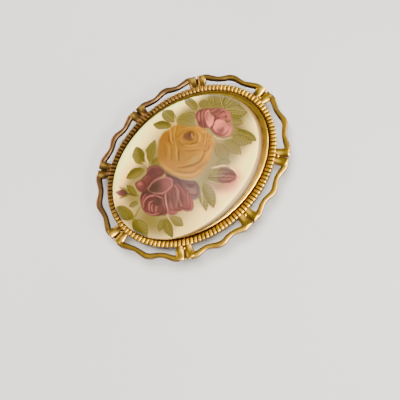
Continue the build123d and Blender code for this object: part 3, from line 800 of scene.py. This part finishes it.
CRIMSON_STROKES = (
    ("wine", 0.5, 0.7, -11.8, 1.9, -10.2, 2, -8.4, 2.1, -6.8, 1.8, -5.4, 1),
    ("wine", 0.3, 0.6, -8.2, 4, -8, 3.1, -8.1, 2.2),
    ("wine", 0.26, 0.6, -10.3, 3.8, -10.2, 3, -10.6, 2.2),
    ("blush", 0.26, 0.55, -11.9, 3.9, -11.2, 3.9, -10.6, 3.5),
    ("blush", 0.24, 0.5, -9.9, 3.4, -9.2, 3.5, -8.6, 3.3),
    ("blush", 0.24, 0.5, -7.7, 4.1, -7, 4.5, -6.2, 4.1, -5.5, 3.1),
    ("plum", 0.5, 0.6, -5.6, 2.6, -5.2, 1.2, -5, -0.4),
    ("blush", 0.42, 0.85, -14.3, -1.2, -13.4, -0.3, -12.2, -0.1, -11, -0.6, -10.1, -1.9, -9.5, -3),
    ("wine", 0.34, 0.8, -13.9, -1.6, -12.9, -0.8, -11.8, -0.8, -10.9, -1.6, -10.5, -2.8),
    ("blush", 0.3, 0.7, -13.7, 0, -12.8, 0.6, -11.7, 0.7),
    ("soot", 0.6, 0.7, -12.6, 1.1, -11.6, 1.3, -10.9, 0.6, -10.6, -0.5),
    ("blush", 0.36, 0.85, -13.8, -2.9, -13.2, -2, -12.4, -1.5, -11.6, -1.7),
    ("soot", 0.7, 0.5, -12, -2.1, -11.4, -2.7, -11.3, -3.6),
    ("rose", 0.9, 0.6, -13.3, -4, -12.5, -3.4, -11.9, -2.9),
    ("pink", 0.3, 0.8, -13.4, -3.3, -12.9, -2.5, -12.3, -2.2),
    ("wine", 0.24, 0.8, -13.1, -3.6, -12.6, -2.9, -12, -2.6),
    ("pink", 0.26, 0.7, -12.8, -3.9, -12.2, -3.4, -11.7, -3.5),
    ("blush", 0.3, 0.75, -14.5, -2.3, -14.3, -3.2, -13.6, -4, -12.7, -4.6),
    ("wine", 0.26, 0.75, -14.2, -2.2, -13.9, -3.1, -13.2, -3.9),
    ("wine", 0.34, 0.7, -13.4, -4.7, -12.4, -5.2, -11.6, -5),
    ("crimson", 0.6, 0.6, -12.4, -4.3, -11.5, -4.5, -10.8, -3.8),
    ("blush", 0.34, 0.85, -8.2, -2.6, -9.3, -3.5, -10.3, -5, -11, -6.2),
    ("wine", 0.4, 0.75, -9, -2.6, -9.9, -3.7, -10.8, -5.3),
    ("blush", 0.26, 0.65, -9.6, -2.9, -10.4, -4, -11.1, -5.3),
    ("wine", 0.3, 0.6, -11.5, -5.9, -10.7, -4.9, -10.4, -4.2),
    ("soot", 0.9, 0.55, -8.4, -3.2, -8.9, -4, -9.2, -4.9),
    ("blush", 0.36, 0.85, -5.7, -2.7, -6.2, -4.2, -7.1, -5.8, -8, -7.4),
    ("wine", 0.36, 0.65, -6.2, -2.7, -6.8, -4.2, -7.8, -5.7, -8.5, -7.2),
    ("soot", 0.8, 0.45, -6.2, -5, -6.8, -6.1, -7.4, -7),
    ("pink", 0.26, 0.5, -8.9, -4.2, -9.4, -5.4, -9.9, -6.6),
    ("wine", 0.22, 0.5, -8.3, -4.3, -8.8, -5.5, -9.2, -6.9),
    ("blush", 0.28, 0.6, -8, -8.3, -7, -9.2, -6, -8.6, -5.2, -7.4),
    ("blush", 0.24, 0.5, -5.2, -2.9, -5.3, -4.6, -5.9, -6.4),
    ("plum", 0.6, 0.6, -4.6, -1.4, -4.4, -2.8, -4.9, -4.4),
    ("plum", 0.7, 0.6, -3.6, -4.6, -3.3, -5.6, -2.6, -5.9),
    ("blush", 0.8, 0.45, -4.6, -6.2, -3.9, -7, -3.3, -7.6),
    ("shell", 0.2, 0.55, -4.4, -5, -3.9, -6.2, -3.2, -6.8),
    ("plum", 0.28, 0.6, -4.8, -6.8, -4, -7.9, -2.9, -7.6),
    ("soot", 0.3, 0.5, -2.2, -5.4, -2.3, -6.6, -2.8, -7.4),
    ("soot", 0.24, 0.6, -12.2, 3, -11.8, 4.3, -10.6, 4, -9.4, 3.9, -8.3, 4),
    ("soot", 0.22, 0.55, -8, 4.2, -7, 4.9, -5.9, 4.3, -5.2, 3.2),
    ("pink", 0.22, 0.6, -11.5, 3.6, -11, 3.4, -10.7, 2.9),
    ("soot", 0.7, 0.45, -10.6, -1.2, -10.5, -2.2, -10.9, -3.2),
    ("shell", 0.26, 0.75, -8.6, -2.9, -9.6, -3.9, -10.4, -5.1, -11.2, -6),
    ("soot", 0.24, 0.6, -7.6, -6.2, -8.1, -7.2, -7.5, -8.4, -6.8, -8.9),
    ("pink", 0.24, 0.65, -5.1, -6.2, -5.7, -7.2, -6.4, -8.1),
    ("soot", 0.4, 0.45, -7.2, -3.2, -8, -4.2, -8.6, -5.2),
    ("pink", 0.22, 0.6, -6.4, -3.6, -7, -4.9, -8, -6, -9, -6.6),
    ("wine", 0.22, 0.6, -9.9, -6.2, -9.2, -7.2, -8.4, -7.6),
    ("pink", 0.2, 0.55, -10.6, -6.4, -9.8, -7.2, -8.9, -7.8))


def paint_crimson_rose(p):
    """The dark red rose at the left: a ruffled crown, a cupped petal, a coiled heart and falling petals."""
    p.petal("mauve", "plum", (-0.3, 1), -5.3, 0.6, -4.4, -1, -3.7, -2.8, -2.7, -4.2, -1.8, -5.4, -2.1, -7.2,
            -3.3, -8.5, -4.8, -8.3, -6.2, -6, -6.6, -2, soft=0.25)
    p.petal("rose", "crimson", (0.3, 1), -11.2, -6.2, -10.2, -7.4, -8.5, -7.9, -7.8, -8.9, -6.9, -9.5,
            -5.8, -8.9, -4.9, -7.4, -4.8, -4, -5.8, -2.2, -8.4, -2, -10.4, -3.4, soft=0.22)
    p.petal("crimson", "wine", (1, 0.6), -11.4, 1.9, -12.9, 1.4, -13.9, 0.3, -14.6, -1.2, -14.7, -2.8,
            -13.9, -4.2, -12.9, -5.2, -11.6, -6.1, -10.4, -5.6, -9, -3.4, -9.6, -0.4, -10.3, 1.5, soft=0.22)
    p.petal("crimson", "crimson", (-0.4, 1), -12.3, 2.7, -11.9, 4.3, -11, 4.1, -10, 4, -8.7, 4, -7.7, 4.4,
            -6.9, 4.9, -6, 4.4, -5.1, 3.2, -4.9, 1.4, -6.2, 1, -8.4, 1.6, -10.4, 1.6, -11.8, 1.6, soft=0.22)
    p.wash(-7, 3.3, 1, 1.1, "plum", 0.75)
    p.wash(-11.1, 3.5, 0.7, 0.6, "blush", 0.55)
    p.wash(-9.3, 2.4, 1.2, 0.5, "crimson", 0.7)
    p.petal("rose", "soot", (-1, 0.9), -10.8, 1.3, -9.7, 1.7, -8.4, 1.6, -7, 1.1, -5.8, 0.1, -5.2, -1.4,
            -6, -2.4, -7.5, -2.6, -8.8, -2.3, -10, -1.3, -10.7, 0, lip="blush", lip_width=0.3)
    p.wash(-9.2, 0.3, 1.2, 0.9, "soot", 0.75)
    p.wash(-6.8, -1, 1.1, 1, "rose", 0.5)
    for stroke in CRIMSON_STROKES:
        p.touch(*stroke)


PINK_STROKES = (
    ("wine", 0.28, 0.65, 8.6, 3.6, 9.5, 4.6, 10.4, 5.7, 11.2, 6.3),
    ("wine", 0.26, 0.6, 8.4, 2.9, 9.4, 3.8, 10.4, 4.9, 11.6, 6),
    ("shell", 0.26, 0.65, 9, 4.7, 9.8, 5.6, 10.6, 6.3),
    ("pink", 0.3, 0.7, 9.1, 3.6, 10, 4.6, 11, 5.6, 12, 5.9),
    ("wine", 0.3, 0.7, 8.5, 2.3, 9.2, 2.6, 9.5, 3.4),
    ("crimson", 0.26, 0.65, 10.4, 3.2, 11, 4.2, 12, 5),
    ("wine", 0.26, 0.75, 9.4, 1.2, 10.4, 1.3, 11.3, 1.8, 12.2, 2.1, 12.9, 1.6),
    ("shell", 0.3, 0.8, 9.6, 1.7, 10.3, 1.6, 11.1, 2.1, 11.7, 2.8),
    ("pink", 0.3, 0.75, 12.5, 4.6, 13.1, 4.2, 13.9, 4.1),
    ("blush", 0.3, 0.75, 12.5, 3.4, 13.1, 2.9, 13.7, 3.2),
    ("pink", 0.24, 0.65, 13, 2.4, 13.6, 2.1, 14.4, 2.9),
    ("soot", 0.26, 0.8, 13.7, 2.2, 14.3, 2.5, 14.7, 1.9),
    ("soot", 0.24, 0.75, 13.4, 1.4, 13.9, 0.8, 14.4, 1.2),
    ("blush", 0.3, 0.75, 13.6, 0.9, 14.1, 0.1, 14.9, 0.7),
    ("soot", 0.22, 0.6, 13.2, 0.2, 13.6, -0.4, 14.2, -0.3),
    ("rose", 0.34, 0.75, 10.3, -0.4, 11.1, -0.9, 12.1, -0.8),
    ("shell", 0.28, 0.7, 10.2, -1.6, 11.2, -1.6, 12.4, -1.3, 13.2, -0.5),
    ("crimson", 0.26, 0.6, 10, -2, 11, -2.3, 12.3, -2),
    ("shell", 0.26, 0.6, 10.6, -2.7, 11.6, -2.8, 12.7, -2.2),
    ("wine", 0.36, 0.6, 9.4, 0.6, 9.3, -0.8, 9.9, -2.1),
    ("soot", 0.22, 0.6, 8.9, -1.2, 9.6, -2.5, 10.8, -3.3))


BUD_STROKES = (
    ("crimson", 0.5, 0.85, 3, -8.7, 4, -9.6, 5.1, -10.6),
    ("crimson", 0.4, 0.85, 2.3, -9.1, 3.2, -10, 4, -11),
    ("wine", 0.26, 0.8, 1.8, -9.2, 2.7, -10.3, 3.6, -11.1),
    ("wine", 0.26, 0.75, 3.7, -8.4, 4.6, -9.3, 5.4, -10.4),
    ("plum", 0.24, 0.7, 4.5, -7.9, 5.1, -8.7, 5.5, -9.8),
    ("pink", 0.3, 0.85, 2.7, -9.2, 3.6, -10.1, 4.5, -10.9),
    ("pink", 0.26, 0.8, 3.5, -9, 4.3, -9.8, 5.2, -11),
    ("shell", 0.26, 0.7, 2.3, -10.2, 3, -11.1, 4, -11.6),
    ("olive", 0.4, 0.85, 0.9, -6.9, 1.9, -8, 3.3, -9.3),
    ("moss", 0.36, 0.85, 1.7, -6.6, 2.9, -7.6, 4.5, -8.7),
    ("moss", 0.34, 0.75, 0.8, -7.7, 1.5, -8.9, 2.3, -10.2),
    ("dusk_green", 0.2, 0.7, 1.3, -6.7, 2.3, -7.8, 3.7, -9.2),
    ("dusk_green", 0.18, 0.6, 0.7, -7.1, 1.4, -8.3, 2.4, -9.6),
    ("olive", 0.24, 0.7, 2.6, -6.6, 3.6, -7.3, 4.9, -8),
    ("pale_stem", 0.2, 0.75, 1.5, -7.1, 2.6, -8.1, 3.8, -9),
    ("pale_stem", 0.18, 0.65, 0.5, -7.5, 1.1, -8.7, 1.8, -9.9),
    ("white", 0.28, 0.9, 2.8, -5.8, 3.8, -6.6, 5.1, -7.3, 5.6, -8),
    ("white", 0.3, 0.85, 5.9, -8.7, 6.1, -9.7, 5.8, -11))


def paint_pink_rose(p):
    """The pink rose at the right, the small bud below and their edges."""
    p.touch("pale_stem", 0.5, 0.7, 8.4, -0.6, 8.9, -2, 10, -3, 11.4, -3.9)
    p.petal("blush", "crimson", (-0.8, 1), 8, 3.6, 8.7, 5.1, 9.9, 6.5, 11, 6.7, 12.2, 6, 13.3, 4.8,
            14.6, 3.8, 15, 2.5, 15.4, 1.3, 14.9, 0.1, 13.9, -1.3, 12.7, -2.6, 11.4, -3.1, 10.1, -2.6,
            9.3, -1.4, 9.1, 0.1, 9.3, 1.2, 8.5, 2.3, soft=0.22)
    p.wash(10.4, 5.2, 1.3, 1.2, "blush", 0.6)
    p.wash(8.9, 3, 0.8, 0.9, "rose", 0.8)
    p.petal("shell", "pink", (0.2, 1), 9.4, 1.5, 9.8, 3, 10.6, 4.2, 11.7, 5.3, 12.6, 5.2, 12.1, 4, 12, 2.8,
            11.2, 1.9, 10.2, 1.4, lip="shell", lip_width=0.25)
    p.petal("pink", "shell", (-0.2, 1), 9.9, -0.6, 10, 0.8, 10.9, 1.6, 12, 1.8, 12.9, 1, 13.1, -0.1,
            12.4, -1, 11.2, -1.3, lip="shell", lip_width=0.25)
    p.wash(10.6, -1.2, 1, 0.8, "rose", 0.55)
    p.wash(11.8, -2.1, 1.2, 0.7, "shell", 0.8)
    p.wash(13.3, 3.4, 0.9, 0.9, "crimson", 0.8)
    p.wash(14.1, 1.3, 0.9, 1, "blush", 0.75)
    p.wash(13, 3.7, 1.1, 1.1, "bark_rose", 0.75)
    p.wash(13.6, -0.6, 0.8, 1, "tan_haze", 0.7)
    p.wash(10.5, -0.9, 0.9, 0.8, "rose", 0.6)
    p.touch("soot", 0.34, 0.55, 9.2, 1, 10.2, 1.2, 11.2, 1.9, 12.1, 2.5, 12.6, 3.4, soft=0.22)
    p.touch("bark_rose", 0.6, 0.6, 12.9, -0.9, 13.6, 0.2, 14.2, 1.2, soft=0.3)
    for stroke in PINK_STROKES:
        p.touch(*stroke)
    p.wash(3.4, -10.4, 2.7, 2.1, "pink", 0.85)
    p.wash(1.2, -9.3, 1.5, 1.7, "tan_haze", 0.85)
    p.wash(1.9, -7.2, 2.1, 1.3, "sage", 0.95)
    p.leaf("haze", "sage", 1.4, (3.8, -5.9), (7, -7.9), 0.2, "sage", 0.6)
    p.petal("bark_rose", "rose", (-0.5, -1), 2, -8.3, 3.2, -7.5, 4.5, -7.4, 5.5, -8.3, 5.9, -9.6, 5.5, -10.9,
            4.3, -11.4, 3, -10.9, 2.1, -9.8, soft=0.28, strength=0.95)
    p.wash(4.1, -9.9, 1.3, 1.1, "crimson", 0.8)
    p.wash(5.1, -8.7, 0.6, 0.7, "mauve", 0.6)
    for stroke in BUD_STROKES:
        p.touch(*stroke)


def paint(x, y):
    """Seen colours of the glaze at places on the stone, in millimetres from its middle, and its gloss 0..1.
    Along the stone's lower right edge a dull painted reflection of the gilt band, with a painted shadow as
    its dark line, widens the band."""
    p = Painting(x, y)
    p.wash(2.0, -11.0, 18.0, 6.0, "warm", 0.60)
    # Painted highlight: a brighter cream patch on the stone's left, where the glaze shows a glare
    p.wash(-13.5, 6.5, 5.0, 4.0, "white", 0.80)
    for lay in (paint_leaves, paint_yellow_rose, paint_crimson_rose, paint_pink_rose):
        lay(p)
    flat = np.stack([x, y], -1).reshape(-1, 2) / STONE_HALF
    share = np.linalg.norm(flat, axis=1)
    inside = (1 - share) * share.clip(0.01) / np.linalg.norm(flat / STONE_HALF, axis=1).clip(1e-3)
    turn = np.degrees(np.arctan2(flat[:, 1], flat[:, 0]))
    band_reflection_zone = np.interp(turn, (-135, -85, -10, 15, 45), (0, 0.95, 0.85, 0.45, 0))
    everywhere = np.arange(len(share))
    # Painted reflection of the gilt band on the glaze, then a painted shadow line at the stone's edge
    for ink, strength, reach, soft in (("gilt", 0.9, 1.0, 0.30), ("edge_shadow_line", 0.8, 0.45, 0.25)):
        p.lay(everywhere, strength * step_up((reach * band_reflection_zone - inside) / soft + 0.5) * (band_reflection_zone > 0), INK[ink])
    gloss = 1 - 0.9 * step_up((1.6 * band_reflection_zone - inside) / 0.8 + 0.5) * (band_reflection_zone > 0)
    return p.colour.reshape(x.shape + (3,)), gloss


# Seen colour of the stone's side and underside, which carry no painting
BARE_EDGE = (0.80, 0.70, 0.52)


def painted_cabochon():
    """A square grid is bent into rings round a middle, squeezed to the oval and raised to the dome. The
    rings lie closer together near the edge, by a part of a quarter wave. Height is the girdle plus the
    dome's rise times the root of one minus the squared share of the radius."""
    steps = 289
    u, v = np.meshgrid(*[np.linspace(-1, 1, steps)] * 2)
    wide = np.abs(u) > np.abs(v)
    radius = np.where(wide, u, v)
    safe = np.where(radius == 0, 1, radius)
    turn = np.where(wide, np.pi / 4 * v / safe, np.pi / 2 - np.pi / 4 * u / safe)
    share = np.abs(radius)
    share = 0.62 * share + 0.38 * np.sin(np.pi / 2 * share)
    reach = np.where(radius < 0, -share, share)
    x = STONE_HALF[0] * reach * np.cos(turn)
    y = STONE_HALF[1] * reach * np.sin(turn)
    base = stone_low[2]
    z = base + GIRDLE + (stone_high[2] - base - GIRDLE) * np.sqrt((1 - share ** 2).clip(0, 1))
    colour, gloss = paint(x, y)
    top = np.stack([x + STONE_MIDDLE[0], y + STONE_MIDDLE[1], z], -1).reshape(-1, 3)
    number = np.arange(steps * steps).reshape(steps, steps)
    around = np.concatenate([number[0, :-1], number[:-1, -1], number[-1, :0:-1], number[:0:-1, 0]])
    inset, height = np.array([(0.998, 0.80), (0.997, 0.50), (0.996, 0.25), (0.988, 0.10), (0.972, 0.02),
                              (0.955, 0.0)]).T
    side = STONE_MIDDLE + (top[around, :2] - STONE_MIDDLE) * inset[:, None, None]
    side = np.concatenate([side, np.broadcast_to((base + height)[:, None, None], side[..., :1].shape)], -1)
    rings = np.concatenate([around[None], len(top) + np.arange(side[..., 0].size).reshape(side.shape[:2])])
    after = np.roll(rings, -1, axis=1)
    skirt = np.stack([rings[:-1], after[:-1], after[1:], rings[1:]], -1).reshape(-1, 4)
    verts = np.concatenate([top, side.reshape(-1, 3)])
    faces = grid_quads(steps, steps).tolist() + skirt.tolist() + [rings[-1].tolist()]
    hidden = len(verts) - len(top)
    seen = np.concatenate([colour.reshape(-1, 3), np.tile(BARE_EDGE, (hidden, 1))])
    return make_piece("painted_cabochon", verts, faces, "cabochon", "painted_stone", glazed(),
                      sharp=0, paint=glaze_colour(seen), gloss=np.concatenate([gloss, np.zeros(hidden)]))


def glazed():
    """Glossy cream glaze over the painting, with faint mottling and a very fine orange peel."""
    m = Shader("painted_glaze")
    mottle = m.noise(260.0, 5.0)
    speck = m.noise(3000.0, 2.0)
    tint = m.ramp(mottle, ((0.30, (0.93, 0.91, 0.87)), (0.70, (1.0, 1.0, 1.0))))
    colour = m.mix(1.0, m.measure("paint")["Color"], tint, "MULTIPLY")
    gloss = m.measure("gloss")["Fac"]
    rough = m.maths("ADD", m.span(speck, 0.16, 0.28), m.span(gloss, 0.35, 0.0))
    peel = m.bump(speck, 0.05, 0.00001, m.bump(mottle, 0.10, 0.00008))
    return m.finish(Base_Color=colour, Roughness=rough, Normal=peel, IOR=1.52,
                    Coat_Weight=m.span(gloss, 0.0, 0.3), Coat_Roughness=0.06, Coat_IOR=1.45)


# Bent strip clip

def bent_clip():
    """A rounded strip carried along a hairpin line: leaf, half a turn, tongue. Towards an end the half width
    falls by the corner's radius r less the root of r squared minus the squared way into the corner."""
    low, high = clip_low, clip_high
    bend = (high[2] - low[2]) / 2
    bend_x = low[0] + bend
    radius = bend - CLIP_THICKNESS / 2
    tongue_end = high[0] - TONGUE_SHORT
    upper = np.linspace(high[0], bend_x, 70)
    turn = np.linspace(np.pi / 2, 3 * np.pi / 2, 26)[1:-1]
    lower = np.linspace(bend_x, tongue_end, 64)
    x = np.concatenate([upper, bend_x + radius * np.cos(turn), lower])
    z = bend + radius * np.concatenate([np.ones(len(upper)), np.sin(turn), -np.ones(len(lower))])
    to_end = np.concatenate([high[0] - upper, np.full(len(turn), CLIP_CORNER), tongue_end - lower])
    gone = (CLIP_CORNER - to_end).clip(0)
    half = (high[1] - low[1]) / 2 - CLIP_CORNER + np.sqrt(CLIP_CORNER ** 2 - gone ** 2)
    way = np.gradient(np.stack([x, z], -1), axis=0)
    way /= np.linalg.norm(way, axis=1, keepdims=True)
    corner, flat = np.linspace(0, np.pi / 2, 5), np.linspace(0.9, -0.9, 9)
    r, t = CLIP_EDGE_ROUND, CLIP_THICKNESS / 2
    away, climb, whole = r * np.cos(corner), t - r + r * np.sin(corner), np.ones(len(corner))
    side = np.concatenate([away, np.zeros(len(flat)), -away[::-1]])
    share = np.concatenate([whole, flat, -whole])
    rise = np.concatenate([climb, np.full(len(flat), t), climb[::-1]])
    side, share, rise = np.concatenate([[side, share, rise], [-side, -share, -rise]], axis=1)
    points = np.stack([x[:, None] - way[:, 1:] * rise, (half[:, None] - r) * share + side,
                       z[:, None] + way[:, :1] * rise], -1)
    points[..., ::2] = points[..., ::2].clip(low[::2], high[::2])
    verts, faces = rails(points[None])
    relief = np.broadcast_to(0.55 + 0.4 * (np.abs(side) > 0.05), points.shape[:2])
    return make_piece("bent_clip", verts, faces, "back_clip", "clip_metal", gilt_strip, sharp=40,
                      relief=np.concatenate([relief.ravel(), [0.5, 0.5]]))


# Floor, light and camera

def pale_floor():
    """A wide pale floor with the faintest cloudiness."""
    m = Shader("pale_floor")
    cloud = m.noise(9.0, 3.0)
    m.finish(Base_Color=m.ramp(cloud, ((0.35, (0.57, 0.565, 0.555)), (0.65, (0.61, 0.605, 0.595)))),
             Roughness=m.span(cloud, 0.55, 0.70), Normal=m.bump(m.noise(1500.0), 0.06, 0.00003))
    mesh = bpy.data.meshes.new("pale_floor")
    mesh.from_pydata([(-1.5, -1.5, 0), (1.5, -1.5, 0), (1.5, 1.5, 0), (-1.5, 1.5, 0)], [], [(0, 1, 2, 3)])
    mesh.materials.append(m.material)
    floor = bpy.data.objects.new("pale_floor", mesh)
    bpy.context.scene.collection.objects.link(floor)


def stand(thing, place, right, up, back):
    """Put a light or a camera in its place, by the directions of its right, its top and its back."""
    turn = Matrix(np.stack([right, up, back], 1).tolist()).to_4x4()
    turn.translation = place
    thing.matrix_world = turn
    bpy.context.scene.collection.objects.link(thing)


def soft_light(name, place, size, power, colour, mirrored=True, matt=True):
    """A soft light that faces the clip. One that isn't mirrored leaves no glare on the glaze,
    and one that isn't matt adds sparkle to the metal and doesn't light the floor."""
    lamp = bpy.data.lights.new(name, "AREA")
    lamp.shape = "RECTANGLE"
    lamp.size, lamp.size_y = size
    lamp.energy = power
    lamp.color = colour
    light = bpy.data.objects.new(name, lamp)
    back = np.array(place) / np.linalg.norm(place)
    side = np.cross((0, 0, 1), back)
    side /= np.linalg.norm(side)
    stand(light, place, side, np.cross(back, side), back)
    light.visible_glossy = mirrored
    light.visible_diffuse = matt


def photo_camera():
    """The camera where the photograph was taken from, worked out from the ring's outline and the stations."""
    lens = bpy.data.cameras.new("camera")
    lens.lens, lens.sensor_width = 45.0, 36.0
    lens.clip_start, lens.clip_end = 0.005, 10.0
    camera = bpy.data.objects.new("camera", lens)
    forward = np.array([0.07998, 0.29259, -0.95289])
    upward = np.array([0.69637, 0.66759, 0.26344])
    stand(camera, (-0.014055, -0.042059, 0.11498), np.cross(forward, upward), upward, -forward)
    bpy.context.scene.camera = camera


def studio():
    """A dim room with a pale wall all round at the height of the eye, one large soft light overhead, weaker
    ones in front for the sheen on the gold, and a weak warm one behind. From the top of the wall the room's
    brightness falls evenly with the rise of the view, down to the dim ceiling."""
    world = bpy.data.worlds.new("studio")
    world.use_nodes = True
    nodes, links = world.node_tree.nodes, world.node_tree.links
    way = nodes.new("ShaderNodeTexCoord")
    parts = nodes.new("ShaderNodeSeparateXYZ")
    fall = nodes.new("ShaderNodeMapRange")
    for socket, value in (("From Min", 0.30), ("From Max", 0.06), ("To Min", 0.12), ("To Max", 1.15)):
        fall.inputs[socket].default_value = value
    links.new(way.outputs["Generated"], parts.inputs[0])
    links.new(parts.outputs["Z"], fall.inputs["Value"])
    links.new(fall.outputs[0], nodes["Background"].inputs["Strength"])
    nodes["Background"].inputs["Color"].default_value = (0.84, 0.83, 0.84, 1)
    bpy.context.scene.world = world
    soft_light("overhead", (0.05, 0.10, 0.55), (0.40, 0.40), 9.2, (1.0, 0.985, 0.96), mirrored=False)
    soft_light("ceiling", (0.04, 0.05, 0.60), (0.36, 0.24), 0.20, (1.0, 0.97, 0.92))
    soft_light("broad", (0.08, -0.16, 0.54), (0.46, 0.30), 0.40, (1.0, 0.96, 0.88))
    soft_light("front", (0.08, -0.42, 0.34), (0.30, 0.14), 3.8, (1.0, 0.92, 0.76))
    soft_light("low_front", (0.16, -0.50, 0.20), (0.50, 0.12), 14.0, (1.0, 0.86, 0.50), matt=False)
    soft_light("low_side", (0.44, -0.24, 0.20), (0.24, 0.10), 2.4, (1.0, 0.86, 0.52), matt=False)
    soft_light("window", (-0.16, 0.46, 0.18), (0.34, 0.16), 0.90, (1.0, 0.70, 0.60))


milled_ring()
station_lobes()
rim_bars()
station_webs()
station_beads()
smooth_band()
painted_cabochon()
bent_clip()
pale_floor()
studio()
photo_camera()
